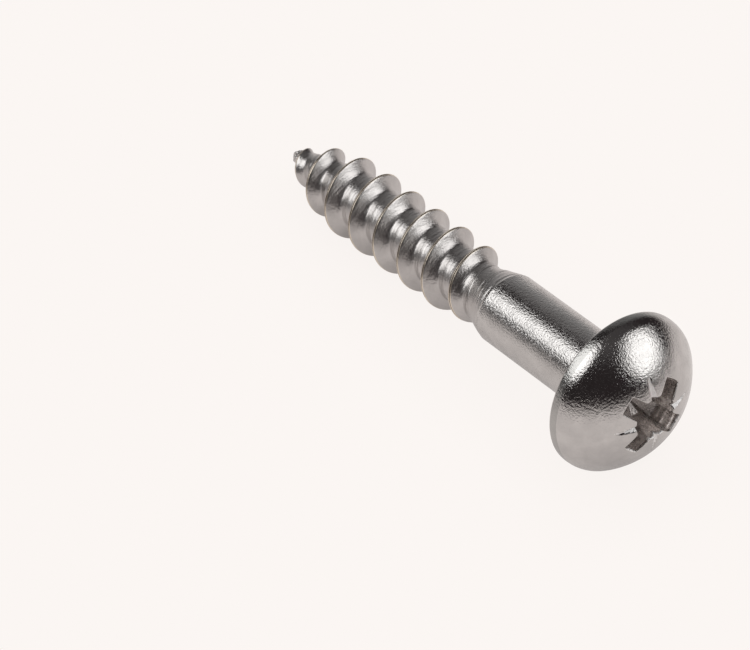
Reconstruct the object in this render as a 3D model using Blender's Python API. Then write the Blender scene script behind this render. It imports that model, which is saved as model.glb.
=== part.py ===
"""Wood screw with a round head, a cross recess, a plain shank and a gimlet point.

Frame, in metres: the screw's axis is X. The origin is on the axis in the plane of the
head's flat bearing face. +X points out through the dome, towards the driver, and the
point is at -X. The screw lies on its side, with +Z up.

The screw is one piece of stainless steel, headed and thread-rolled from wire, so it is
one object. A hidden cutter makes the cross recess and another makes the four tick marks.
"""

from math import asin, cos, exp, pi, radians, sin, tan

import bmesh
import bpy
from mathutils import Vector

MM = 0.001

# Driving dimensions, in metres. "Along" is a distance from the bearing face to the point.
HEAD_DIAMETER = 10.0 * MM
HEAD_HEIGHT = 3.61 * MM
LENGTH = 29.7 * MM
SHANK_DIAMETER = 4.5 * MM
SHANK_END_DIAMETER = 4.46 * MM
CREST_DIAMETER = 4.88 * MM
ROOT_DIAMETER = 3.32 * MM
PITCH = 2.28 * MM

# Head
CHEEK_HEIGHT = 0.6 * MM
EDGE_RADIUS = 0.8 * MM
HEAD_FILLET = 0.35 * MM

# Cross recess
WING_SPAN = 5.0 * MM
WING_WIDTH = 1.2 * MM
WING_DRAFT = radians(3.5)
WING_END_DRAFT = radians(13)
WING_END_BULGE = 0.04 * MM
CORE_DIAMETER = 2.9 * MM
CORE_DRAFT = radians(14)
CORE_STEPS = 3
RECESS_DEPTH = 2.6 * MM
WALL_SHARE_OF_DEPTH = 0.78
FLOOR_NARROWING = 0.32
RECESS_TURN = radians(45.4)
CUTTER_CLEARANCE = 0.4 * MM

# Tick marks
TICK_INNER = 1.1 * MM
TICK_OUTER = 3.0 * MM
TICK_DEPTH = 0.32 * MM
TICK_END_DEPTH = 0.02 * MM
TICK_HALF_ANGLE = radians(38)

# Shoulder and neck, where the plain shank gives way to the thread
SHANK_END_ALONG = 9.88 * MM
SHOULDER_DIAMETER = 3.92 * MM
SHOULDER_LENGTH = 0.87 * MM
NECK_LENGTH = 1.55 * MM

# Thread
THREAD_START_ALONG = 10.0 * MM
THREAD_RISE_ALONG = 9.5 * MM
THREAD_RISE_LENGTH = 4.6 * MM
THREAD_START_TURNS = 0.25
THREAD_RUN_OUT_LENGTH = 2.9 * MM
THREAD_RUN_OUT_POWER = 0.72
THREAD_END_BEFORE_TIP = 0.35 * MM
TURNS_IN_SQUEEZE = 1.2

# Point
POINT_LENGTH = 5.65 * MM
POINT_FULLNESS = 0.65
TIP_RADIUS = 0.13 * MM
TIP_LENGTH = 0.05 * MM
SQUEEZE_LENGTH = 1.5 * MM

# One pitch of the rolled thread: each flank is hollow, steep at the crest and easy at the root
CREST_HALF_SHARE = 0.035
FLANK_END_SHARE = 0.3
FLANK_POWER = 1.6
FLANK_SHARES = (0.3, 0.2, 0.12, 0.045)

# Mesh fineness: columns go round the screw
COLUMNS = 40
DOME_STEPS = 9
EDGE_STEPS = 4
FILLET_STEPS = 3


def smooth_step(t):
    """0 below t = 0, 1 above t = 1, and a smooth rise between."""
    t = min(max(t, 0.0), 1.0)
    return t * t * (3 - 2 * t)


def blend(start, end, share):
    return start + (end - start) * share


def point_at(along, radius, turn):
    """A point by its distance along the axis, its radius and its turn round the axis."""
    angle = -2 * pi * turn
    return Vector((-along, radius * cos(angle), radius * sin(angle)))


# Outlines: radius against distance along the axis

def head_outline():
    """(along, radius) points of the dome, its rounded edge and the short upright cheek."""
    rim = HEAD_DIAMETER / 2
    corner = rim - EDGE_RADIUS
    rise = HEAD_HEIGHT - CHEEK_HEIGHT
    # The dome's arc is tangent to the edge's arc where their two centres are in line.
    dome_radius = (corner ** 2 + rise ** 2 - EDGE_RADIUS ** 2) / (2 * (rise - EDGE_RADIUS))
    contact = asin(corner / (dome_radius - EDGE_RADIUS))
    dome_centre = dome_radius - HEAD_HEIGHT

    outline = []
    for step in range(1, DOME_STEPS + 1):
        angle = contact * step / DOME_STEPS
        outline.append((dome_centre - dome_radius * cos(angle), dome_radius * sin(angle)))
    for step in range(1, EDGE_STEPS + 1):
        angle = blend(contact, pi / 2, step / EDGE_STEPS)
        outline.append((-CHEEK_HEIGHT - EDGE_RADIUS * cos(angle), corner + EDGE_RADIUS * sin(angle)))
    outline.append((0.0, rim))
    return outline


def fillet_outline():
    """The quarter round between the bearing face and the shank."""
    outline = []
    for step in range(FILLET_STEPS + 1):
        angle = pi / 2 * step / FILLET_STEPS
        outline.append((HEAD_FILLET * (1 - cos(angle)), SHANK_DIAMETER / 2 + HEAD_FILLET * (1 - sin(angle))))
    return outline


def body_radius(along):
    """Radius of the body without its thread: shank, shoulder, neck, root and point."""
    share = min(along / SHANK_END_ALONG, 1)
    shank = blend(SHANK_DIAMETER, SHANK_END_DIAMETER, share) / 2
    past_shank = along - SHANK_END_ALONG
    shoulder = blend(shank, SHOULDER_DIAMETER / 2, smooth_step(past_shank / SHOULDER_LENGTH))
    root = ROOT_DIAMETER / 2
    radius = blend(shoulder, root, smooth_step((past_shank - SHOULDER_LENGTH / 2) / NECK_LENGTH))
    to_tip = max((LENGTH - along) / POINT_LENGTH, 0.0)
    if to_tip < 1:
        radius = blend(TIP_RADIUS, root, to_tip ** POINT_FULLNESS)
    return radius


def thread_height(along, turn):
    """The thread grows out of the neck in its first turns and runs out at the point."""
    full = (CREST_DIAMETER - ROOT_DIAMETER) / 2
    rise = smooth_step((along - THREAD_RISE_ALONG) / THREAD_RISE_LENGTH) * smooth_step(turn / THREAD_START_TURNS)
    left = max((LENGTH - THREAD_END_BEFORE_TIP - along) / THREAD_RUN_OUT_LENGTH, 0.0)
    return full * rise * min(left, 1) ** THREAD_RUN_OUT_POWER


def thread_profile():
    """(share of the pitch, share of the thread's height) points, with the crest in the middle."""
    flank = []
    for from_crest in FLANK_SHARES:
        share = (FLANK_END_SHARE - from_crest) / (FLANK_END_SHARE - CREST_HALF_SHARE)
        flank.append((from_crest, share ** FLANK_POWER))
    rising = [(0.5 - from_crest, height) for from_crest, height in flank]
    falling = [(0.5 + from_crest, height) for from_crest, height in reversed(flank)]
    return [(0.0, 0.0)] + rising + [(0.5, 1.0)] + falling


def squeezed_at_tip(along):
    """Keeps every distance short of the tip by squeezing the last stretch before it."""
    start = LENGTH - SQUEEZE_LENGTH
    room = SQUEEZE_LENGTH - 2 * TIP_LENGTH
    if along <= start:
        return along
    return start + room * (1 - exp((start - along) / room))


# Mesh building

def add_ring(bm, along, radius):
    return [bm.verts.new(point_at(along, radius, j / COLUMNS)) for j in range(COLUMNS)]


def bridge(bm, first, second):
    for j in range(COLUMNS):
        k = (j + 1) % COLUMNS
        bm.faces.new((first[j], first[k], second[k], second[j]))


def cap(bm, ring, tip):
    for j in range(COLUMNS):
        bm.faces.new((tip, ring[j], ring[(j + 1) % COLUMNS]))


def add_turned_part(bm):
    """The head, the bearing face and the plain shank. Returns the last ring."""
    outline = head_outline() + fillet_outline()
    outline.append((SHANK_END_ALONG / 2, body_radius(SHANK_END_ALONG / 2)))
    outline.append((SHANK_END_ALONG, body_radius(SHANK_END_ALONG)))
    rings = [add_ring(bm, along, radius) for along, radius in outline]
    cap(bm, rings[0], bm.verts.new((HEAD_HEIGHT, 0, 0)))
    for first, second in zip(rings, rings[1:]):
        bridge(bm, first, second)
    return rings[-1]


def add_thread(bm):
    """A helical strip, one pitch wide, whose edges are joined turn to turn.

    Returns its columns of vertices, each from the edge near the head to the edge near the
    point. A column's last vertex is the first vertex of the column one turn on.
    """
    unsqueezed_end = LENGTH - SQUEEZE_LENGTH + TURNS_IN_SQUEEZE * PITCH
    columns = round((unsqueezed_end - THREAD_START_ALONG - PITCH) / PITCH * COLUMNS)

    def strip_vertex(column, share, height):
        turn = column / COLUMNS
        along = squeezed_at_tip(THREAD_START_ALONG + PITCH * (turn + share))
        radius = body_radius(along) + height * thread_height(along, turn)
        return bm.verts.new(point_at(along, radius, turn))

    profile = thread_profile()
    strip = [[strip_vertex(column, share, height) for share, height in profile]
             for column in range(columns + 1)]
    for column, vertices in enumerate(strip):
        one_turn_on = column + COLUMNS
        if one_turn_on <= columns:
            vertices.append(strip[one_turn_on][0])
        else:
            vertices.append(strip_vertex(column, 1.0, 0.0))

    for here, ahead in zip(strip, strip[1:]):
        for row in range(len(profile)):
            bm.faces.new((here[row], ahead[row], ahead[row + 1], here[row + 1]))
    return strip


def add_wedge(bm, ring, edge, step):
    """Closes the body between a level ring and the strip's sloping edge.

    ring and edge run the same way round, from the column where the edge is nearest to the
    ring. The edge ends one turn later at that column, a pitch away, where step, the end of
    the strip, leads from one to the other.
    """
    ring_along = -ring[0].co.x
    reach = -step[-1].co.x - ring_along
    shares = [(-vertex.co.x - ring_along) / reach for vertex in step[:-1]]

    columns = []
    for top, bottom in zip(ring[1:], edge[1:COLUMNS]):
        outward = Vector((0, top.co.y, top.co.z)).normalized()
        column = [top]
        for share in shares:
            along = blend(ring_along, -bottom.co.x, share)
            column.append(bm.verts.new(outward * body_radius(along) - Vector((along, 0, 0))))
        columns.append(column + [bottom])
    columns.append([ring[0]] + step)

    bm.faces.new((ring[0], ring[1], edge[0]))
    for upper, lower in zip(columns[0], columns[0][1:]):
        bm.faces.new((edge[0], upper, lower))
    for here, ahead in zip(columns, columns[1:]):
        for row in range(len(here) - 1):
            bm.faces.new((here[row], ahead[row], ahead[row + 1], here[row + 1]))


def new_object(name, bm):
    bmesh.ops.recalc_face_normals(bm, faces=bm.faces)
    mesh = bpy.data.meshes.new(name)
    bm.to_mesh(mesh)
    bm.free()
    obj = bpy.data.objects.new(name, mesh)
    bpy.context.scene.collection.objects.link(obj)
    return obj


def screw_blank():
    """The whole screw before its recess is punched."""
    bm = bmesh.new()
    shank_end = add_turned_part(bm)
    strip = add_thread(bm)
    add_wedge(bm, shank_end, [column[0] for column in strip[:COLUMNS + 1]], strip[0])

    tip_columns = strip[-COLUMNS - 1:]
    last_turn = (len(strip) - 1) / COLUMNS
    tip_ring = [bm.verts.new(point_at(LENGTH - TIP_LENGTH, TIP_RADIUS, last_turn - j / COLUMNS))
                for j in range(COLUMNS)]
    add_wedge(bm, tip_ring, [column[-1] for column in reversed(tip_columns)], strip[-1][::-1])
    cap(bm, tip_ring, bm.verts.new((-LENGTH, 0, 0)))
    return new_object("wood_screw", bm)


# The recess

def as_cutter(obj):
    obj.hide_render = True
    obj.display_type = 'WIRE'
    return obj


def cross_section(depth):
    """(y, z) corners round the four wings and the core, at a depth below the dome's top."""
    half_width = WING_WIDTH / 2 - depth * tan(WING_DRAFT)
    reach = WING_SPAN / 2 - depth * tan(WING_END_DRAFT)
    core = CORE_DIAMETER / 2 - depth * tan(CORE_DRAFT)
    wing_side = asin(half_width / core)
    corners = []
    for wing in range(4):
        turn = wing * pi / 2 + RECESS_TURN
        outline = [(reach - WING_END_BULGE, -half_width), (reach, 0), (reach - WING_END_BULGE, half_width)]
        for step in range(CORE_STEPS + 1):
            angle = blend(wing_side, pi / 2 - wing_side, step / CORE_STEPS)
            outline.append((core * cos(angle), core * sin(angle)))
        for u, v in outline:
            corners.append((u * cos(turn) - v * sin(turn), u * sin(turn) + v * cos(turn)))
    return corners


def recess_cutter():
    """A tapered core and four drafted wings, over a floor that narrows to the middle."""
    bm = bmesh.new()

    def layer(depth, corners, scale=1.0):
        return [bm.verts.new((HEAD_HEIGHT - depth, y * scale, z * scale)) for y, z in corners]

    wall_depth = RECESS_DEPTH * WALL_SHARE_OF_DEPTH
    walls_end = cross_section(wall_depth)
    layers = [layer(-CUTTER_CLEARANCE, cross_section(0)), layer(wall_depth, walls_end),
              layer(RECESS_DEPTH, walls_end, FLOOR_NARROWING)]
    count = len(walls_end)
    for first, second in zip(layers, layers[1:]):
        for j in range(count):
            k = (j + 1) % count
            bm.faces.new((first[j], first[k], second[k], second[j]))
    bm.faces.new(layers[0])
    bm.faces.new(layers[-1])
    return as_cutter(new_object("recess_cutter", bm))


def dome_height(radius):
    """Height of the dome above the bearing face at a radius."""
    outline = [(-HEAD_HEIGHT, 0.0)] + head_outline()
    for (along, inner), (next_along, outer) in zip(outline, outline[1:]):
        if inner <= radius <= outer:
            return -blend(along, next_along, (radius - inner) / (outer - inner))


def tick_cutter():
    """Four V grooves in the dome, midway between the wings, that run out towards the rim."""
    bm = bmesh.new()
    for tick in range(4):
        turn = tick * pi / 2 + pi / 4 + RECESS_TURN
        outward = Vector((0, cos(turn), sin(turn)))
        ends = []
        for radius, depth in ((TICK_INNER, TICK_DEPTH), (TICK_OUTER, TICK_END_DEPTH)):
            surface = outward * radius + Vector((dome_height(radius), 0, 0))
            above = surface + Vector((CUTTER_CLEARANCE, 0, 0))
            below = surface - Vector((depth, 0, 0))
            sideways = Vector((0, -sin(turn), cos(turn))) * (depth + CUTTER_CLEARANCE) * tan(TICK_HALF_ANGLE)
            ends.append([bm.verts.new(p) for p in (above + sideways, above - sideways, below)])
        inner, outer = ends
        bm.faces.new(inner)
        bm.faces.new(outer)
        for j in range(3):
            k = (j + 1) % 3
            bm.faces.new((inner[j], inner[k], outer[k], outer[j]))
    return as_cutter(new_object("tick_cutter", bm))


def cut(obj, cutter):
    modifier = obj.modifiers.new(cutter.name, 'BOOLEAN')
    modifier.operation = 'DIFFERENCE'
    modifier.solver = 'EXACT'
    modifier.object = cutter


def steel_material():
    """Bare stainless steel, cold formed and slightly satin."""
    material = bpy.data.materials.new("stainless_steel")
    material.use_nodes = True
    shader = material.node_tree.nodes["Principled BSDF"]
    shader.inputs["Base Color"].default_value = (0.63, 0.615, 0.60, 1)
    shader.inputs["Metallic"].default_value = 1.0
    shader.inputs["Roughness"].default_value = 0.22
    return material


for old in list(bpy.data.objects):
    bpy.data.objects.remove(old, do_unlink=True)

wood_screw = screw_blank()
wood_screw.data.materials.append(steel_material())
wood_screw.data.shade_smooth()
wood_screw.data.set_sharp_from_angle(angle=radians(35))
cut(wood_screw, recess_cutter())
cut(wood_screw, tick_cutter())
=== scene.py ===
"""The looks of the wood screw: a fine mesh, satin steel materials, a small studio.

Everything is in metres in the CAD frame: the screw's axis is X, the bearing face is at
x = 0, the dome points to +X and the gimlet point to -X. "Along" is a distance from the
bearing face towards the point, so x = -along.
"""

from math import asin, atan, atan2, cos, exp, floor, log, pi, radians, sin, sqrt, tan

import bpy
from mathutils import Matrix, Vector, noise


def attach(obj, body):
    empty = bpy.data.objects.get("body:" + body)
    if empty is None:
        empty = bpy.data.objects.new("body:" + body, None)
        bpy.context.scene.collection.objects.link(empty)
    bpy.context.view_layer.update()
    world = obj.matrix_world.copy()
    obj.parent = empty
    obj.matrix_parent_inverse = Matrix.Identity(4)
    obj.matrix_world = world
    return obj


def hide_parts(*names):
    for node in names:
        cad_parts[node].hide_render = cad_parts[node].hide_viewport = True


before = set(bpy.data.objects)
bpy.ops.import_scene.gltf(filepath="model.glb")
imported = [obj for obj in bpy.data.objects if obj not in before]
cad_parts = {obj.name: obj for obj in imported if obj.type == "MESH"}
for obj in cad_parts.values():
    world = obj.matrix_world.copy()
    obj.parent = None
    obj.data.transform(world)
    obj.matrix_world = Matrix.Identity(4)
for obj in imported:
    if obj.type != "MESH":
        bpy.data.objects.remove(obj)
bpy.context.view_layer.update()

MM = 0.001

# The CAD model's dimensions
HEAD_DIAMETER = 10.0 * MM
HEAD_HEIGHT = 3.61 * MM
LENGTH = 29.7 * MM
SHANK_DIAMETER = 4.5 * MM
SHANK_END_DIAMETER = 4.46 * MM
CREST_DIAMETER = 4.88 * MM
ROOT_DIAMETER = 3.32 * MM
PITCH = 2.28 * MM

CHEEK_HEIGHT = 0.6 * MM
HEAD_FILLET = 0.35 * MM

WING_SPAN = 5.0 * MM
WING_WIDTH = 1.2 * MM
WING_DRAFT = radians(3.5)
WING_END_DRAFT = radians(13)
WING_END_BULGE = 0.04 * MM
CORE_DIAMETER = 2.9 * MM
CORE_DRAFT = radians(14)
RECESS_DEPTH = 2.6 * MM
WALL_SHARE_OF_DEPTH = 0.78
FLOOR_NARROWING = 0.32
RECESS_TURN = radians(45.4)

TICK_INNER = 1.1 * MM
TICK_OUTER = 3.0 * MM
TICK_DEPTH = 0.32 * MM
TICK_HALF_ANGLE = radians(38)

SHANK_END_ALONG = 9.88 * MM
SHOULDER_DIAMETER = 3.92 * MM
SHOULDER_LENGTH = 0.87 * MM
NECK_LENGTH = 1.55 * MM

THREAD_START_ALONG = 10.0 * MM
THREAD_RISE_ALONG = 9.5 * MM
THREAD_RISE_LENGTH = 4.6 * MM
THREAD_START_TURNS = 0.25
THREAD_RUN_OUT_LENGTH = 2.9 * MM
THREAD_RUN_OUT_POWER = 0.72
THREAD_END_BEFORE_TIP = 0.35 * MM
TURNS_IN_SQUEEZE = 1.2
FLANK_END_SHARE = 0.3
FLANK_POWER = 1.6

POINT_LENGTH = 5.65 * MM
POINT_FULLNESS = 0.65
TIP_RADIUS = 0.13 * MM
TIP_LENGTH = 0.05 * MM
SQUEEZE_LENGTH = 1.5 * MM

# The visual mesh's head edge and crest. The CAD has a plain edge radius and a narrower crest.
BEARING_EDGE_ROUND = 0.09 * MM
CHEEK_BARREL_RADIUS = 2.3 * MM
CHEEK_WIDEST_AT = 0.25 * MM
CREASE_NORMAL = radians(78)
# Width of the band under the crease that gets the dark seam colour: painted shade in the crease
CREASE_SHADE_BAND = 0.035 * MM
SHOULDER_ARC_RADIUS = 1.6 * MM
CREST_HALF_SHARE = 0.04
CREST_CORNER_SHARE = 0.012

# Fine detail of the recess that only the visual mesh has
RECESS_LIP = 0.045 * MM
FLOOR_DISH = 0.08 * MM
FLOOR_SLOPE_POWER = 1.2
DRAG_DEPTH = 0.03 * MM
DRAG_LENGTH = 2.5 * MM
WALL_ROUGHNESS = 0.008 * MM
WALL_ROUGHNESS_SIZE = 0.16 * MM
WALL_MEAN_RADIUS = 2.0 * MM
# Share of the wall's height, down from the lip, over which a burr fades out
BURR_REACH = 1 / 9
# A burr this high, or a tick mark this deep, shows rough torn metal in a brighter colour: painted
# highlight
TORN_HIGHLIGHT_BURR = 0.012 * MM
TORN_HIGHLIGHT_TICK = 0.015 * MM
# The dome's rings follow the recess's outline at the lip and are circles from this radius on
LOFT_END_RADIUS = 3.3 * MM

# Fine detail of the shank, thread and point that only the visual mesh has
SHANK_CORNER_ROUND = 0.22 * MM
SHANK_CORNER_DROP = 0.07 * MM
RUN_IN_TURNS = 0.62
RUN_IN_HEIGHT = 0.035 * MM
SEAM_HALF_SHARE = 0.016
SEAM_DEPTH = 0.045 * MM
MARKED_HEIGHT = 0.3 * MM
ROOT_STEP_SHARE = 0.055
ROOT_STEP_RUN = 0.012
ROOT_STEP_HEIGHT = 0.014 * MM
RAGGED_LENGTH = 1.0 * MM
RAGGED_RISE = 0.7 * MM
# (height, size) of the lumps of ragged metal at the tip
RAGGED_LUMPS = ((0.13 * MM, 0.22 * MM), (0.05 * MM, 0.09 * MM))

# Mesh fineness. A quarter of the columns goes round one wing of the recess.
COLUMNS = 256
QUARTER = COLUMNS // 4
CORE_COLUMNS = 10
WING_SIDE_COLUMNS = 14
WING_END_COLUMNS = 16
FINE_RINGS_FROM = 9.5 * MM
LEVEL_RINGS_END = 10.8 * MM
STRIP_LEAD_TURNS = 0.04
FLANK_ROWS = 20
CREST_ROWS = 30
CREST_ROWS_FROM = 0.44


def smooth_step(t):
    """0 below t = 0, 1 above t = 1, and a smooth rise between."""
    t = min(max(t, 0.0), 1.0)
    return t * t * (3 - 2 * t)


def blend(start, end, share):
    return start + (end - start) * share


def steps_between(start, end, count):
    """count even steps that lead from start to end, without start itself."""
    return [blend(start, end, step / count) for step in range(1, count + 1)]


def soft_positive(x, softness):
    """x where x is well above 0, 0 where it is well below, and rounded between."""
    return softness * log(1 + exp(min(x / softness, 60.0)))


def point_at(along, radius, turn):
    """A point by its distance along the axis, its radius and its turn round the axis."""
    angle = -2 * pi * turn
    return Vector((-along, radius * cos(angle), radius * sin(angle)))


class Shell:
    """A closed mesh under construction, with a material index for each face."""

    def __init__(self):
        self.points = []
        self.faces = []
        self.materials = []

    def add(self, point):
        self.points.append(point)
        return len(self.points) - 1

    def add_all(self, points):
        return [self.add(point) for point in points]

    def face(self, corners, material):
        self.faces.append(corners)
        self.materials.append(material)

    def bridge(self, first, second, material):
        """Joins two rings of the same length. material may be a list with one for each face."""
        materials = material if isinstance(material, list) else [material] * len(first)
        for j in range(len(first)):
            k = (j + 1) % len(first)
            self.face((first[j], first[k], second[k], second[j]), materials[j])

    def fan(self, ring, middle, material):
        for j in range(len(ring)):
            self.face((middle, ring[j], ring[(j + 1) % len(ring)]), material)

    def to_object(self, name, materials):
        mesh = bpy.data.meshes.new(name)
        mesh.from_pydata(self.points, [], self.faces)
        for material in materials:
            mesh.materials.append(material)
        mesh.polygons.foreach_set("material_index", self.materials)
        mesh.polygons.foreach_set("use_smooth", [True] * len(self.faces))
        mesh.validate()
        obj = bpy.data.objects.new(name, mesh)
        bpy.context.scene.collection.objects.link(obj)
        return obj


# Material indices, in the order that the screw's materials are given
STEEL, BEARING, THREAD, RECESS, CREST_HIGHLIGHT, SEAM_AND_CREASE_SHADE, TORN_HIGHLIGHT, SHANK, CHEEK = range(9)


# The head

def cheek_radius(height):
    """The cheek is a shallow barrel from the bearing face up to the crease."""
    return HEAD_DIAMETER / 2 - (height - CHEEK_WIDEST_AT) ** 2 / (2 * CHEEK_BARREL_RADIUS)


# Inside the crease the shoulder's arc runs tangent into the dome's sphere
ARC_MIDDLE = cheek_radius(CHEEK_HEIGHT) - SHOULDER_ARC_RADIUS * sin(CREASE_NORMAL)
ARC_LEVEL = CHEEK_HEIGHT - SHOULDER_ARC_RADIUS * cos(CREASE_NORMAL)
ARC_BELOW_TOP = HEAD_HEIGHT - ARC_LEVEL
DOME_RADIUS = ((ARC_MIDDLE ** 2 + ARC_BELOW_TOP ** 2 - SHOULDER_ARC_RADIUS ** 2)
               / (2 * (ARC_BELOW_TOP - SHOULDER_ARC_RADIUS)))
DOME_CONTACT = asin(ARC_MIDDLE / (DOME_RADIUS - SHOULDER_ARC_RADIUS))


def dome_height(radius):
    """Height of the dome above the bearing face, inside its contact with the shoulder's arc."""
    return HEAD_HEIGHT - DOME_RADIUS + sqrt(DOME_RADIUS ** 2 - radius ** 2)


def tick_depth(y, z):
    """Depth of the V groove of the nearest tick mark at a point on the dome."""
    depth = 0.0
    for tick in range(4):
        turn = tick * pi / 2 + pi / 4 + RECESS_TURN
        outward = y * cos(turn) + z * sin(turn)
        sideways = abs(z * cos(turn) - y * sin(turn))
        if outward > 0:
            valley = TICK_DEPTH * (TICK_OUTER - outward) / (TICK_OUTER - TICK_INNER)
            depth = max(depth, valley - sideways / tan(TICK_HALF_ANGLE))
    return depth


def wing_outline(depth, offset):
    """(u, v) points of one wing at a depth below the dome's top, from one core arc to the other.

    u runs along the wing. depth may be a list with one depth for each point.
    """
    depths = depth if isinstance(depth, list) else [depth] * QUARTER
    points = []
    for j, here in enumerate(depths):
        half_width = WING_WIDTH / 2 - here * tan(WING_DRAFT) + offset
        reach = WING_SPAN / 2 - here * tan(WING_END_DRAFT) + offset
        core = CORE_DIAMETER / 2 - here * tan(CORE_DRAFT) + offset
        side_angle = asin(half_width / core)
        mirrored = j >= QUARTER / 2
        step = (QUARTER - 1 - j if mirrored else j) + 0.5
        if step < CORE_COLUMNS:
            angle = blend(pi / 4, side_angle, step / CORE_COLUMNS)
            u, v = core * cos(angle), core * sin(angle)
        elif step < CORE_COLUMNS + WING_SIDE_COLUMNS:
            share = (step - CORE_COLUMNS) / WING_SIDE_COLUMNS
            u = blend(core * cos(side_angle), reach - WING_END_BULGE, share)
            v = half_width
        else:
            share = (step - CORE_COLUMNS - WING_SIDE_COLUMNS) / (WING_END_COLUMNS / 2)
            v = half_width * (1 - share)
            u = reach - WING_END_BULGE * (v / half_width) ** 2
        points.append((u, -v if mirrored else v))
    return points


def rounded(points):
    """Takes the points' sharp corners off by averaging each with its neighbours."""
    after = points[1:] + points[:1]
    return [((before[0] + 2 * here[0] + ahead[0]) / 4, (before[1] + 2 * here[1] + ahead[1]) / 4)
            for before, here, ahead in zip(points[-1:] + points[:-1], points, after)]


def recess_outline(depths, offset):
    """(y, z) points all round the recess, one for each column, at one depth for each column."""
    outline = []
    for quarter in range(4):
        turn = RECESS_TURN - (quarter + 1) * pi / 2
        part = depths[quarter * QUARTER:(quarter + 1) * QUARTER]
        for u, v in wing_outline(part, offset):
            outline.append((u * cos(turn) - v * sin(turn), u * sin(turn) + v * cos(turn)))
    return rounded(outline)


def surface_depths(offset):
    """Depth below the dome's top at which each column of the recess meets the dome."""
    depths = [0.0] * COLUMNS
    for _ in range(5):
        outline = recess_outline(depths, offset)
        depths = [HEAD_HEIGHT - dome_height(sqrt(y * y + z * z)) + tick_depth(y, z) for y, z in outline]
    return depths


# (depth, height) of the small steps that the punch leaves on the recess's walls
WALL_STEPS = ((0.8 * MM, 0.008 * MM), (1.3 * MM, 0.01 * MM), (1.7 * MM, 0.008 * MM))
WALL_STEP_RISE = 0.06 * MM
WALL_STEP_WIDTH = 0.1 * MM
WALL_STEP_FADE = 0.25 * MM


def wall_offset(depth):
    """How far the steps stand out of the wall at a depth: each rises at once and fades slowly."""
    offset = 0.0
    for step_depth, height in WALL_STEPS:
        below = depth - step_depth
        offset -= height * smooth_step(below / WALL_STEP_RISE)
        offset += height * smooth_step((below - WALL_STEP_WIDTH) / WALL_STEP_FADE)
    return offset


# Rings round the recess's mouth that are bright metal
BRIGHT_LIP_RINGS = 8

# (column, columns either side, height) of the stretches where the punch left a burr on the lip
BURRS = ((64, 13, 0.14 * MM), (95, 7, 0.13 * MM), (30, 6, 0.13 * MM), (214, 3, 0.03 * MM))
# Noise cells per column, along the lip and down the walls
BURR_NOISE = 0.61
DRAG_NOISE = 0.33


def lip_burr(column):
    """How far the ragged metal on the lip stands into the recess at a column."""
    stand = 0.0
    for middle, spread, height in BURRS:
        mask = max(1 - ((column - middle) / spread) ** 2, 0.0)
        ragged = noise.noise(Vector((column * BURR_NOISE, middle, 0)))
        stand += height * mask * (0.45 + 1.1 * ragged)
    return stand


def recess_rings():
    """Rings from the recess's floor up its walls and over its rounded lip."""
    wall_end = RECESS_DEPTH * WALL_SHARE_OF_DEPTH
    floor_outline = recess_outline([wall_end] * COLUMNS, 0.0)
    rings = []
    for share in (0.12, 0.3, 0.6, 0.85, 1.0):
        scale = FLOOR_NARROWING * share
        depth = RECESS_DEPTH - FLOOR_DISH * share ** 2
        rings.append([Vector((HEAD_HEIGHT - depth, y * scale, z * scale)) for y, z in floor_outline])
    for share in (0.1, 0.2, 0.35, 0.5, 0.65, 0.8, 0.9, 0.96):
        scale = blend(FLOOR_NARROWING, 1.0, share)
        depth = blend(RECESS_DEPTH - FLOOR_DISH, wall_end, share ** FLOOR_SLOPE_POWER)
        rings.append([Vector((HEAD_HEIGHT - depth, y * scale, z * scale)) for y, z in floor_outline])

    edge = [depth + RECESS_LIP for depth in surface_depths(0.0)]
    for share in [0.0] + steps_between(0.0, 1.0, 40):
        depths = [blend(wall_end, top, share) for top in edge]
        outline = recess_outline(depths, 0.0)
        near_lip = max(1 - (1 - share) / BURR_REACH, 0.0)
        ring = []
        for column, ((y, z), depth) in enumerate(zip(outline, depths)):
            dragged = DRAG_DEPTH * noise.noise(Vector((column * DRAG_NOISE, depth / DRAG_LENGTH, 3)))
            rough = WALL_ROUGHNESS * noise.noise(Vector((y, z, depth)) / WALL_ROUGHNESS_SIZE)
            move = wall_offset(depth) + dragged * (1 - near_lip) + rough - lip_burr(column) * near_lip
            grow = 1 + move / WALL_MEAN_RADIUS
            ring.append(Vector((HEAD_HEIGHT - depth, y * grow, z * grow)))
        rings.append(ring)

    for angle in steps_between(0.0, pi / 2, 4):
        offset = RECESS_LIP * (1 - cos(angle))
        depths = [depth + RECESS_LIP * (1 - sin(angle)) for depth in surface_depths(offset)]
        outline = recess_outline(depths, offset)
        rings.append([Vector((HEAD_HEIGHT - depth, y, z)) for (y, z), depth in zip(outline, depths)])
    return rings


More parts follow.
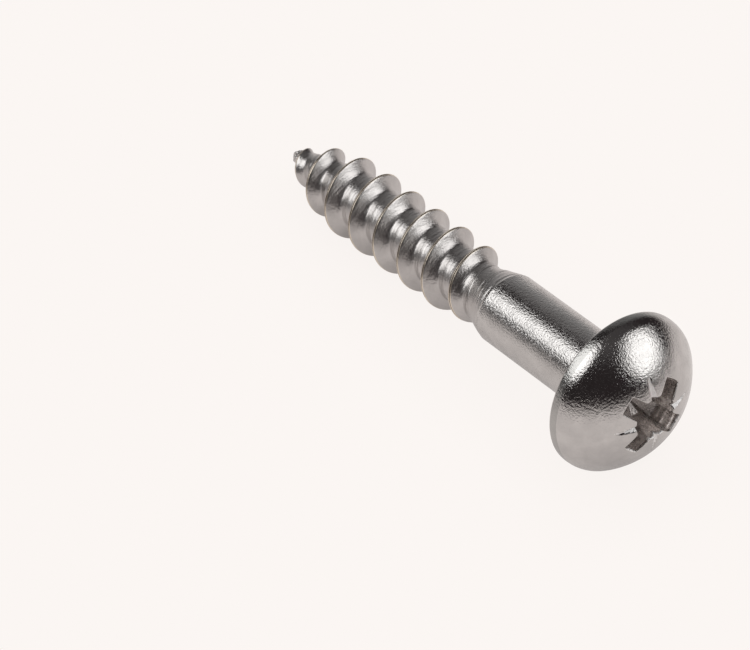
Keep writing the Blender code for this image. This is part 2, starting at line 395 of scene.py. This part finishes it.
def dome_rings(lip):
    """Rings from the recess's lip out over the dome, the shoulder, the crease and the cheek."""
    rings = []
    lip_polar = []
    for j, point in enumerate(lip):
        angle = -2 * pi * j / COLUMNS
        across = point.y * cos(angle) + point.z * sin(angle)
        aside = point.z * cos(angle) - point.y * sin(angle)
        lip_polar.append((sqrt(point.y ** 2 + point.z ** 2), atan2(aside, across)))
    for share in steps_between(0.0, 1.0, 30):
        ring = []
        for j, (lip_radius, lip_angle) in enumerate(lip_polar):
            radius = blend(lip_radius, LOFT_END_RADIUS, share)
            angle = -2 * pi * j / COLUMNS + lip_angle * (1 - smooth_step(share))
            y, z = radius * cos(angle), radius * sin(angle)
            ring.append(Vector((dome_height(radius) - tick_depth(y, z), y, z)))
        rings.append(ring)

    for angle in steps_between(asin(LOFT_END_RADIUS / DOME_RADIUS), DOME_CONTACT, 16):
        along = DOME_RADIUS - HEAD_HEIGHT - DOME_RADIUS * cos(angle)
        rings.append(level_ring(along, DOME_RADIUS * sin(angle)))
    for angle in steps_between(DOME_CONTACT, CREASE_NORMAL, 24):
        radius = ARC_MIDDLE + SHOULDER_ARC_RADIUS * sin(angle)
        rings.append(level_ring(-ARC_LEVEL - SHOULDER_ARC_RADIUS * cos(angle), radius))
    for height in steps_between(CHEEK_HEIGHT, BEARING_EDGE_ROUND, 14):
        rings.append(level_ring(-height, cheek_radius(height)))
    return rings


def level_ring(along, radius):
    return [point_at(along, radius, j / COLUMNS) for j in range(COLUMNS)]


def underside_rings():
    """Rings of the rounded bearing edge, the bearing face and the fillet under the head."""
    rim = cheek_radius(BEARING_EDGE_ROUND)
    rings = []
    for angle in steps_between(0.0, pi / 2, 4):
        along = -BEARING_EDGE_ROUND * (1 - sin(angle))
        rings.append(level_ring(along, rim - BEARING_EDGE_ROUND * (1 - cos(angle))))
    fillet_start = SHANK_DIAMETER / 2 + HEAD_FILLET
    for radius in steps_between(rim - BEARING_EDGE_ROUND, fillet_start, 14):
        rings.append(level_ring(0.0, radius))
    for angle in steps_between(0.0, pi / 2, 10):
        rings.append(level_ring(HEAD_FILLET * (1 - cos(angle)), fillet_start - HEAD_FILLET * sin(angle)))
    return rings


# The shank, the thread and the point

def body_radius(along):
    """Radius of the body without its thread: shank, shoulder, neck, root and point."""
    share = min(along / SHANK_END_ALONG, 1)
    shank = blend(SHANK_DIAMETER, SHANK_END_DIAMETER, share) / 2
    past_shank = along - SHANK_END_ALONG
    shoulder = blend(shank, SHOULDER_DIAMETER / 2, smooth_step(past_shank / SHOULDER_LENGTH))
    root = ROOT_DIAMETER / 2
    radius = blend(shoulder, root, smooth_step((past_shank - SHOULDER_LENGTH / 2) / NECK_LENGTH))
    radius -= SHANK_CORNER_DROP * corner_shape(past_shank / SHANK_CORNER_ROUND)
    to_tip = max((LENGTH - along) / POINT_LENGTH, 0.0)
    if to_tip < 1:
        radius = blend(TIP_RADIUS, root, to_tip ** POINT_FULLNESS)
    return radius


def corner_shape(t):
    """The crisp end of the shank: a drop at once past it that eases back over the shoulder."""
    return smooth_step(t + 1) * (1 - smooth_step((t - 1) / 2.5))


def thread_height(along, turn):
    """The thread grows out of the neck in its first turns and runs out at the point."""
    full = (CREST_DIAMETER - ROOT_DIAMETER) / 2
    rise = smooth_step((along - THREAD_RISE_ALONG) / THREAD_RISE_LENGTH)
    rise *= smooth_step(turn / THREAD_START_TURNS)
    left = max((LENGTH - THREAD_END_BEFORE_TIP - along) / THREAD_RUN_OUT_LENGTH, 0.0)
    run_in = RUN_IN_HEIGHT * smooth_step((turn + RUN_IN_TURNS) / THREAD_START_TURNS)
    return max(full * rise, run_in) * min(left, 1) ** THREAD_RUN_OUT_POWER


def thread_shape(share):
    """Share of the thread's height at a share of the pitch: hollow flanks, rounded crest corners."""
    past_crest = soft_positive(abs(share - 0.5) - CREST_HALF_SHARE, CREST_CORNER_SHARE)
    flank = max(1 - past_crest / (FLANK_END_SHARE - CREST_HALF_SHARE), 0.0)
    return flank ** FLANK_POWER


def thread_marks(share, height):
    """What rolling leaves: a fine seam between two lips on the crest, and a step on the root."""
    grown = min(height / MARKED_HEIGHT, 1.0)
    from_crest = abs(share - 0.5)
    seam = -SEAM_DEPTH * max(1 - (from_crest / SEAM_HALF_SHARE) ** 2, 0.0)
    step = ROOT_STEP_HEIGHT * smooth_step((ROOT_STEP_SHARE - min(share, 1 - share)) / ROOT_STEP_RUN)
    return seam * (0.4 + 0.6 * grown) + step * grown


def thread_radius(along, turn, share):
    height = thread_height(along, turn)
    return body_radius(along) + height * thread_shape(share) + thread_marks(share, height)


def shoulder_radius(along, turn):
    """Radius anywhere before the strip, where a turn of the thread may pass over the body."""
    steps = (along - THREAD_START_ALONG) / PITCH - turn
    whole = floor(steps)
    if turn + whole < -RUN_IN_TURNS:
        return body_radius(along)
    return thread_radius(along, turn + whole, steps - whole)


def squeezed_at_tip(along):
    """Keeps every distance short of the tip by squeezing the last stretch before it."""
    start = LENGTH - SQUEEZE_LENGTH
    room = SQUEEZE_LENGTH - 2 * TIP_LENGTH
    if along <= start:
        return along
    return start + room * (1 - exp((start - along) / room))


def ragged_at_tip(point):
    """The point moved by the ragged metal that the dies push out round the tip."""
    near_tip = smooth_step((-point.x - LENGTH + RAGGED_LENGTH) / RAGGED_RISE)
    if near_tip == 0:
        return point
    ragged = sum(noise.noise(point / size) * height for height, size in RAGGED_LUMPS)
    outward = Vector((0, point.y, point.z))
    if outward.length > 0:
        outward.normalize()
    return point + outward * ragged * near_tip


def profile_shares():
    """Shares of the pitch at which the strip has a row of vertices, closer at the crest."""
    row = CREST_ROWS_FROM / FLANK_ROWS
    rising = [row * step for step in range(FLANK_ROWS)]
    crest = steps_between(CREST_ROWS_FROM, 1 - CREST_ROWS_FROM, CREST_ROWS)
    falling = [1 - row * (step + 0.5) for step in reversed(range(FLANK_ROWS))]
    return rising + [CREST_ROWS_FROM] + crest + falling


def thread_rings(shell, start_column):
    """A helical strip, one pitch wide, whose edges are joined turn to turn."""
    shares = profile_shares()
    unsqueezed_end = LENGTH - SQUEEZE_LENGTH + TURNS_IN_SQUEEZE * PITCH
    end_column = round((unsqueezed_end - THREAD_START_ALONG - PITCH) / PITCH * COLUMNS)

    def strip_vertex(column, share):
        turn = column / COLUMNS
        along = squeezed_at_tip(THREAD_START_ALONG + PITCH * (turn + share))
        return shell.add(ragged_at_tip(point_at(along, thread_radius(along, turn, share % 1), turn)))

    strip = [[strip_vertex(column, share) for share in shares]
             for column in range(start_column, end_column + 1)]
    for column, vertices in enumerate(strip):
        one_turn_on = column + COLUMNS
        if one_turn_on < len(strip):
            vertices.append(strip[one_turn_on][0])
        else:
            vertices.append(strip_vertex(column + start_column, 1.0))
    ends = shares[1:] + [1.0]
    row_materials = [crest_material((low + high) / 2) for low, high in zip(shares, ends)]
    for here, ahead in zip(strip, strip[1:]):
        for row, material in enumerate(row_materials):
            shell.face((here[row], ahead[row], ahead[row + 1], here[row + 1]), material)
    return strip, end_column


def crest_material(share):
    """The crest's two lips get a brighter golden colour, a painted highlight, and the seam between them
    a dark colour, painted shade.
    """
    from_crest = abs(share - 0.5)
    if from_crest < SEAM_HALF_SHARE * 0.8:
        return SEAM_AND_CREASE_SHADE
    return CREST_HIGHLIGHT if from_crest < CREST_HALF_SHARE else THREAD


def add_wedge(shell, ring, edge, step, radius_of, material):
    """Closes the body between a level ring and the strip's sloping edge.

    ring and edge run the same way round, from the column where the edge is nearest to the
    ring. The edge ends one turn later at that column, a pitch away, where step, the end of
    the strip, leads from one to the other.
    """
    ring_along = -shell.points[ring[0]].x
    reach = -shell.points[step[-1]].x - ring_along
    shares = [(-shell.points[vertex].x - ring_along) / reach for vertex in step[:-1]]

    columns = []
    for top, bottom in zip(ring[1:], edge[1:COLUMNS]):
        outward = Vector((0, shell.points[top].y, shell.points[top].z)).normalized()
        end = -shell.points[bottom].x
        column = [top]
        for share in shares:
            along = blend(ring_along, end, share)
            point = outward * radius_of(along, outward) - Vector((along, 0, 0))
            column.append(shell.add(ragged_at_tip(point)))
        columns.append(column + [bottom])
    columns.append([ring[0]] + step)

    shell.face((ring[0], ring[1], edge[0]), material)
    for upper, lower in zip(columns[0], columns[0][1:]):
        shell.face((edge[0], upper, lower), material)
    for here, ahead in zip(columns, columns[1:]):
        for row in range(len(here) - 1):
            shell.face((here[row], ahead[row], ahead[row + 1], here[row + 1]), material)


def build_screw(materials):
    shell = Shell()

    recess = recess_rings()
    rings = [shell.add_all(ring) for ring in recess]
    shell.fan(rings[0][::-1], shell.add(Vector((HEAD_HEIGHT - RECESS_DEPTH, 0, 0))), RECESS)
    lip = len(rings) - BRIGHT_LIP_RINGS
    for step, (first, second) in enumerate(zip(rings, rings[1:])):
        # Burrs on the lip get the brighter torn colour: painted highlight
        material = [TORN_HIGHLIGHT if lip_burr(column) > TORN_HIGHLIGHT_BURR else STEEL for column in range(COLUMNS)]
        shell.bridge(second, first, material if step >= lip else RECESS)

    last = rings[-1]
    for points in dome_rings(recess[-1]):
        ring = shell.add_all(points)
        if points[0].x < CHEEK_HEIGHT:
            # The thin band under the crease gets the dark seam colour: painted shade in the crease
            material = CHEEK if points[0].x < CHEEK_HEIGHT - CREASE_SHADE_BAND else SEAM_AND_CREASE_SHADE
        else:
            # Deeper tick marks get the brighter torn colour: painted highlight
            material = [TORN_HIGHLIGHT if tick_depth(point.y, point.z) > TORN_HIGHLIGHT_TICK else STEEL for point in points]
        shell.bridge(ring, last, material)
        last = ring
    for points in underside_rings():
        ring = shell.add_all(points)
        shell.bridge(ring, last, BEARING)
        last = ring

    alongs = steps_between(HEAD_FILLET, FINE_RINGS_FROM, 40)
    alongs += steps_between(FINE_RINGS_FROM, LEVEL_RINGS_END, 44)
    for along in alongs:
        ring = shell.add_all([point_at(along, shoulder_radius(along, j / COLUMNS), j / COLUMNS)
                              for j in range(COLUMNS)])
        shell.bridge(ring, last, SHANK if along < SHANK_END_ALONG else THREAD)
        last = ring

    start_turn = (LEVEL_RINGS_END - THREAD_START_ALONG) / PITCH + STRIP_LEAD_TURNS
    start_column = round(start_turn * COLUMNS)
    strip, end_column = thread_rings(shell, start_column)
    ring = [last[(start_column + j) % COLUMNS] for j in range(COLUMNS)]

    def shoulder(along, outward):
        return shoulder_radius(along, -atan2(outward.z, outward.y) / (2 * pi))

    add_wedge(shell, ring, [column[0] for column in strip[:COLUMNS + 1]], strip[0], shoulder, THREAD)

    last_turn = end_column / COLUMNS
    tip_along = LENGTH - TIP_LENGTH
    tip_ring = shell.add_all([ragged_at_tip(point_at(tip_along, TIP_RADIUS, last_turn - j / COLUMNS))
                              for j in range(COLUMNS)])
    tip_columns = strip[-COLUMNS - 1:]
    add_wedge(shell, tip_ring, [column[-1] for column in reversed(tip_columns)], strip[-1][::-1],
              lambda along, outward: body_radius(along), THREAD)
    shell.fan(tip_ring, shell.add(Vector((-LENGTH, 0, 0))), THREAD)
    return shell.to_object("fine_screw", materials)


# Materials

def new_material(name, colour, roughness):
    material = bpy.data.materials.new(name)
    material.use_nodes = True
    tree = material.node_tree
    shader = tree.nodes["Principled BSDF"]
    shader.inputs["Base Color"].default_value = (*colour, 1)
    shader.inputs["Metallic"].default_value = 1.0
    shader.inputs["Roughness"].default_value = roughness
    return material, tree, shader


def noise_node(tree, vector, scale, detail=2.0, roughness=0.5):
    node = tree.nodes.new("ShaderNodeTexNoise")
    node.inputs["Scale"].default_value = scale
    node.inputs["Detail"].default_value = detail
    node.inputs["Roughness"].default_value = roughness
    tree.links.new(vector, node.inputs["Vector"])
    return node


def map_range(tree, value, low, high, to_low, to_high):
    node = tree.nodes.new("ShaderNodeMapRange")
    limits = {"From Min": low, "From Max": high, "To Min": to_low, "To Max": to_high}
    for name, number in limits.items():
        node.inputs[name].default_value = number
    tree.links.new(value, node.inputs["Value"])
    return node.outputs["Result"]


def bump(tree, height, distance, normal=None):
    node = tree.nodes.new("ShaderNodeBump")
    node.inputs["Strength"].default_value = 1.0
    node.inputs["Distance"].default_value = distance
    tree.links.new(height, node.inputs["Height"])
    if normal is not None:
        tree.links.new(normal, node.inputs["Normal"])
    return node.outputs["Normal"]


def colour_mix(tree, factor, first, second):
    node = tree.nodes.new("ShaderNodeMix")
    node.data_type = "RGBA"
    node.inputs["A"].default_value = (*first, 1)
    node.inputs["B"].default_value = (*second, 1)
    tree.links.new(factor, node.inputs["Factor"])
    return node.outputs["Result"]


def object_coordinates(tree):
    return tree.nodes.new("ShaderNodeTexCoord").outputs["Object"]


def product(tree, first, second):
    node = tree.nodes.new("ShaderNodeMath")
    node.operation = "MULTIPLY"
    tree.links.new(first, node.inputs[0])
    tree.links.new(second, node.inputs[1])
    return node.outputs["Value"]


def stretched(tree, vector, scale):
    node = tree.nodes.new("ShaderNodeMapping")
    node.inputs["Scale"].default_value = scale
    tree.links.new(vector, node.inputs["Vector"])
    return node.outputs["Vector"]


# How many noise cells go to a metre, for each kind of mark
PER_MM = 1 / MM
SAND = 8 * PER_MM
HOLLOWS = 4.5 * PER_MM
CLOUDS = 0.9 * PER_MM
FILM = 3 * PER_MM
# Noise cells per millimetre along each axis
RINGS_STRETCH = (8, 0.3, 0.3)
DRAG_STRETCH = (0.8, 9, 9)
FAINT = 0.001 * MM
CLOUD_SHADE = 0.86


def shaded(colour, share):
    return tuple(channel * share for channel in colour)


def satin_steel(name, colour, roughness, grain, dull=None, speck=9, dents=FAINT, scratches=FAINT):
    """Steel with dull specks, sandy grain, shallow dents and rings scratched round the axis.

    dull is the specks' roughness, and speck their number per millimetre. Without dull there
    are none. grain, dents and scratches are heights in metres.
    """
    material, tree, shader = new_material(name, colour, roughness)
    place = object_coordinates(tree)
    sand = noise_node(tree, place, SAND, detail=2.0, roughness=0.65)
    normal = bump(tree, sand.outputs["Fac"], grain)
    hollows = noise_node(tree, place, HOLLOWS, detail=2.0)
    normal = bump(tree, hollows.outputs["Fac"], dents, normal)
    rings = noise_node(tree, stretched(tree, place, RINGS_STRETCH), PER_MM, detail=3.0)
    normal = bump(tree, rings.outputs["Fac"], scratches, normal)
    tree.links.new(normal, shader.inputs["Normal"])
    clouds = noise_node(tree, place, CLOUDS, detail=4.0)
    if dull is not None:
        specks = noise_node(tree, place, speck * PER_MM, detail=2.0, roughness=0.6)
        rough = map_range(tree, specks.outputs["Fac"], 0.47, 0.6, roughness, dull)
        tree.links.new(rough, shader.inputs["Roughness"])
    tint = map_range(tree, clouds.outputs["Fac"], 0.35, 0.65, 0, 1)
    clouded = colour_mix(tree, tint, shaded(colour, CLOUD_SHADE), colour)
    tree.links.new(clouded, shader.inputs["Base Color"])
    return material


# The recess's colours: painted shade near its floor, and the walls' colour higher up
RECESS_FLOOR_SHADE_COLOUR = (0.2, 0.18, 0.17)
UNSHADED_WALL_COLOUR = (0.92, 0.87, 0.84)
RECESS_COLOUR = (0.5, 0.45, 0.42)
# Depth above which the recess's walls have no painted shade; below it their colour darkens towards the
# floor
UNSHADED_DEPTH = 1.1 * MM


def recess_steel():
    """Punched walls with a brown-grey film of forming oil, and painted shade that darkens the colour
    towards the recess's floor.
    """
    material, tree, shader = new_material("recess_steel", RECESS_COLOUR, 0.34)
    shader.inputs["Metallic"].default_value = 0.8
    place = object_coordinates(tree)
    film = noise_node(tree, place, FILM, detail=4.0)
    tint = map_range(tree, film.outputs["Fac"], 0.35, 0.65, 0.55, 1)
    level = tree.nodes.new("ShaderNodeSeparateXYZ")
    tree.links.new(place, level.inputs[0])
    bottom = HEAD_HEIGHT - RECESS_DEPTH
    # Painted shade: the colour darkens from the unshaded depth down to the floor
    unshaded = map_range(tree, level.outputs["X"], bottom, HEAD_HEIGHT - UNSHADED_DEPTH, 0.15, 1)
    colour = colour_mix(tree, product(tree, unshaded, tint), RECESS_FLOOR_SHADE_COLOUR, UNSHADED_WALL_COLOUR)
    tree.links.new(colour, shader.inputs["Base Color"])
    drag = noise_node(tree, stretched(tree, place, DRAG_STRETCH), PER_MM, detail=3.0)
    normal = bump(tree, drag.outputs["Fac"], DRAG_DEPTH)
    tree.links.new(normal, shader.inputs["Normal"])
    rough = map_range(tree, film.outputs["Fac"], 0.3, 0.7, 0.18, 0.36)
    tree.links.new(rough, shader.inputs["Roughness"])
    return material


STEEL_COLOUR = (0.57, 0.555, 0.54)
THREAD_COLOUR = (0.58, 0.56, 0.545)
BEARING_COLOUR = (0.61, 0.59, 0.575)
# The crest's brighter golden colour is a painted highlight
CREST_HIGHLIGHT_COLOUR = (0.78, 0.7, 0.59)
# A dark colour for the crest's seam and the head's crease: painted shade
SEAM_AND_CREASE_SHADE_COLOUR = (0.16, 0.135, 0.12)
# Brighter colour of rough torn metal on burrs and tick marks: painted highlight
TORN_HIGHLIGHT_COLOUR = (0.9, 0.89, 0.88)
CHEEK_COLOUR = (0.44, 0.435, 0.42)

screw = build_screw([
    satin_steel("polished_steel", STEEL_COLOUR, roughness=0.07, dull=0.19, grain=0.022 * MM),
    satin_steel("bearing_steel", BEARING_COLOUR, roughness=0.26, dull=0.36, grain=0.012 * MM,
                dents=0.002 * MM),
    satin_steel("rolled_steel", THREAD_COLOUR, roughness=0.29, dull=0.34, grain=0.014 * MM, speck=8,
                dents=0.006 * MM, scratches=0.024 * MM),
    recess_steel(),
    # Brighter golden crest lips: painted highlight
    satin_steel("crest_highlight_steel", CREST_HIGHLIGHT_COLOUR, roughness=0.3, dull=0.4, grain=0.01 * MM),
    # Dark crest seam and head crease: painted shade
    satin_steel("seam_and_crease_shade_steel", SEAM_AND_CREASE_SHADE_COLOUR, roughness=0.4, grain=0.01 * MM),
    # Rough torn metal in a brighter colour: painted highlight
    satin_steel("torn_highlight_steel", TORN_HIGHLIGHT_COLOUR, roughness=0.5, dull=0.6, grain=0.02 * MM),
    satin_steel("drawn_steel", STEEL_COLOUR, roughness=0.08, dull=0.29, grain=0.028 * MM, speck=8,
                dents=0.006 * MM),
    satin_steel("cheek_steel", CHEEK_COLOUR, roughness=0.12, dull=0.24, grain=0.02 * MM),
])
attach(screw, "root")
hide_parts("wood_screw")


# The studio

# From the head's lowest point to the last crest that touches the floor
REST_SPAN = 23.1 * MM
LIE_ANGLE = atan((HEAD_DIAMETER - CREST_DIAMETER) / 2 / REST_SPAN)
UP = Vector((sin(LIE_ANGLE), 0, cos(LIE_ANGLE)))
FORWARD = Vector((cos(LIE_ANGLE), 0, -sin(LIE_ANGLE)))
SIDE = UP.cross(FORWARD)
MIDDLE = Vector((-LENGTH / 2, 0, 0))

PAPER = (0.965, 0.922, 0.896)
PAPER_RADIUS = 0.3
PAPER_CORNERS = 48
CONTACT_REACH = 6 * MM
CONTACT_SHADE = 0.95

# What the steel reflects: the table is darker, with a painted contact shadow round the screw and a
# painted shadow where a second screw would lie
TABLE_IN_REFLECTIONS = (0.84, 0.785, 0.765)
REFLECTED_CONTACT_SHADE = 0.35
NEIGHBOUR_AZIMUTH = 322
NEIGHBOUR_AWAY = 42 * MM
NEIGHBOUR_REACH = 34 * MM
NEIGHBOUR_SHADE = 0.3
ROOM = (0.034, 0.028, 0.029)

LIGHT_DISTANCE = 0.6
# name, azimuth, elevation, width, height, radiance, tilt
LIGHTS = (
    ("softbox_right", 134, 31, 0.54, 0.44, 2.0, 0),
    ("softbox_left", 330, 51, 0.86, 0.52, 2.0, 30),
    ("ceiling", 150, 76, 0.9, 0.7, 0.05, 0),
    ("rear_wall", 238, 18, 0.62, 0.56, 0.22, 0),
    ("rear_skirting", 235, 3, 0.7, 0.3, 0.18, 0),
    ("side_skirting", 322, 5, 0.5, 0.3, 0.12, 0),
)

CAMERA_LENS = 249.1
CAMERA_PLACE = Vector((173.92, -139.79, 194.01)) * MM
CAMERA_TARGET = Vector((-16.79, -4.43, -3.04)) * MM


def direction(azimuth, elevation):
    """A direction in the floor's frame. Azimuth 0 is towards -Y and 90 towards the head's end."""
    a, e = radians(azimuth), radians(elevation)
    return FORWARD * sin(a) * cos(e) - SIDE * cos(a) * cos(e) + UP * sin(e)


def stand(obj, x_axis, y_axis, z_axis, place):
    """Puts an object that looks along its own -Z into the scene."""
    obj.matrix_world = Matrix((x_axis, y_axis, z_axis)).transposed().to_4x4()
    obj.matrix_world.translation = place
    bpy.context.scene.collection.objects.link(obj)


def add_light(name, azimuth, elevation, width, height, radiance, tilt):
    """An oval light that faces the screw. tilt, in degrees, lifts its right-hand end."""
    light = bpy.data.lights.new(name, "AREA")
    light.shape = "ELLIPSE"
    light.size = width
    light.size_y = height
    light.energy = radiance * pi * (pi / 4 * width * height)
    way = direction(azimuth, elevation)
    x_axis = Matrix.Rotation(radians(tilt), 3, way) @ UP.cross(way).normalized()
    place = MIDDLE + way * LIGHT_DISTANCE
    stand(bpy.data.objects.new(name, light), x_axis, way.cross(x_axis), way, place)


def camera_switch(tree, reflected, seen):
    """Shows one shader to the camera and another to the steel's reflections."""
    pick = tree.nodes.new("ShaderNodeMixShader")
    path = tree.nodes.new("ShaderNodeLightPath")
    tree.links.new(path.outputs["Is Camera Ray"], pick.inputs["Fac"])
    tree.links.new(reflected, pick.inputs[1])
    tree.links.new(seen, pick.inputs[2])
    return pick.outputs[0]


def glow(tree, colour):
    node = tree.nodes.new("ShaderNodeEmission")
    tree.links.new(colour, node.inputs["Color"])
    return node.outputs[0]


def paper_material(centre):
    """Evenly bright paper with a soft contact shade, see-through from below."""
    material = bpy.data.materials.new("paper")
    material.use_nodes = True
    tree = material.node_tree
    tree.nodes.clear()
    out = tree.nodes.new("ShaderNodeOutputMaterial")
    openness = tree.nodes.new("ShaderNodeAmbientOcclusion")
    openness.samples = 4
    openness.inputs["Distance"].default_value = CONTACT_REACH
    seen = colour_mix(tree, openness.outputs["AO"], shaded(PAPER, CONTACT_SHADE), PAPER)

    neighbour = tree.nodes.new("ShaderNodeVectorMath")
    neighbour.operation = "DISTANCE"
    neighbour.inputs[1].default_value = centre + direction(NEIGHBOUR_AZIMUTH, 0) * NEIGHBOUR_AWAY
    tree.links.new(object_coordinates(tree), neighbour.inputs[0])
    lit = map_range(tree, neighbour.outputs["Value"], 0, NEIGHBOUR_REACH, NEIGHBOUR_SHADE, 1)
    dark = shaded(TABLE_IN_REFLECTIONS, REFLECTED_CONTACT_SHADE)
    reflected = colour_mix(tree, product(tree, openness.outputs["AO"], lit), dark, TABLE_IN_REFLECTIONS)

    from_above = camera_switch(tree, glow(tree, reflected), glow(tree, seen))
    pick = tree.nodes.new("ShaderNodeMixShader")
    side = tree.nodes.new("ShaderNodeNewGeometry")
    clear = tree.nodes.new("ShaderNodeBsdfTransparent")
    tree.links.new(side.outputs["Backfacing"], pick.inputs["Fac"])
    tree.links.new(from_above, pick.inputs[1])
    tree.links.new(clear.outputs[0], pick.inputs[2])
    tree.links.new(pick.outputs[0], out.inputs["Surface"])
    return material


def add_floor():
    """Pale paper that the screw lies on: its lowest points touch it."""
    low = min(UP.dot(vertex.co) for vertex in screw.data.vertices)
    centre = MIDDLE - UP * UP.dot(MIDDLE) + UP * low
    turns = [2 * pi * j / PAPER_CORNERS for j in range(PAPER_CORNERS)]
    points = [centre + (FORWARD * cos(turn) + SIDE * sin(turn)) * PAPER_RADIUS for turn in turns]
    mesh = bpy.data.meshes.new("paper")
    mesh.from_pydata(points, [], [list(range(PAPER_CORNERS))])
    mesh.materials.append(paper_material(centre))
    obj = bpy.data.objects.new("paper", mesh)
    bpy.context.scene.collection.objects.link(obj)


def add_room():
    """A dim room for reflections, behind a plain pale backdrop for the camera."""
    world = bpy.data.worlds.new("room")
    bpy.context.scene.world = world
    world.use_nodes = True
    tree = world.node_tree
    tree.nodes.clear()
    out = tree.nodes.new("ShaderNodeOutputWorld")
    dim = tree.nodes.new("ShaderNodeBackground")
    dim.inputs["Color"].default_value = (*ROOM, 1)
    pale = tree.nodes.new("ShaderNodeBackground")
    pale.inputs["Color"].default_value = (*PAPER, 1)
    tree.links.new(camera_switch(tree, dim.outputs[0], pale.outputs[0]), out.inputs["Surface"])


def add_camera():
    """The long lens looks down on the dome and the recess, with the floor's UP upright."""
    camera = bpy.data.cameras.new("camera")
    camera.lens = CAMERA_LENS
    camera.sensor_width = 36
    camera.clip_start = 0.01
    obj = bpy.data.objects.new("camera", camera)
    back = (CAMERA_PLACE - CAMERA_TARGET).normalized()
    right = UP.cross(back).normalized()
    stand(obj, right, back.cross(right), back, CAMERA_PLACE)
    bpy.context.scene.camera = obj


add_floor()
add_room()
add_camera()
for light_row in LIGHTS:
    add_light(*light_row)
bpy.context.scene.view_settings.view_transform = "Standard"
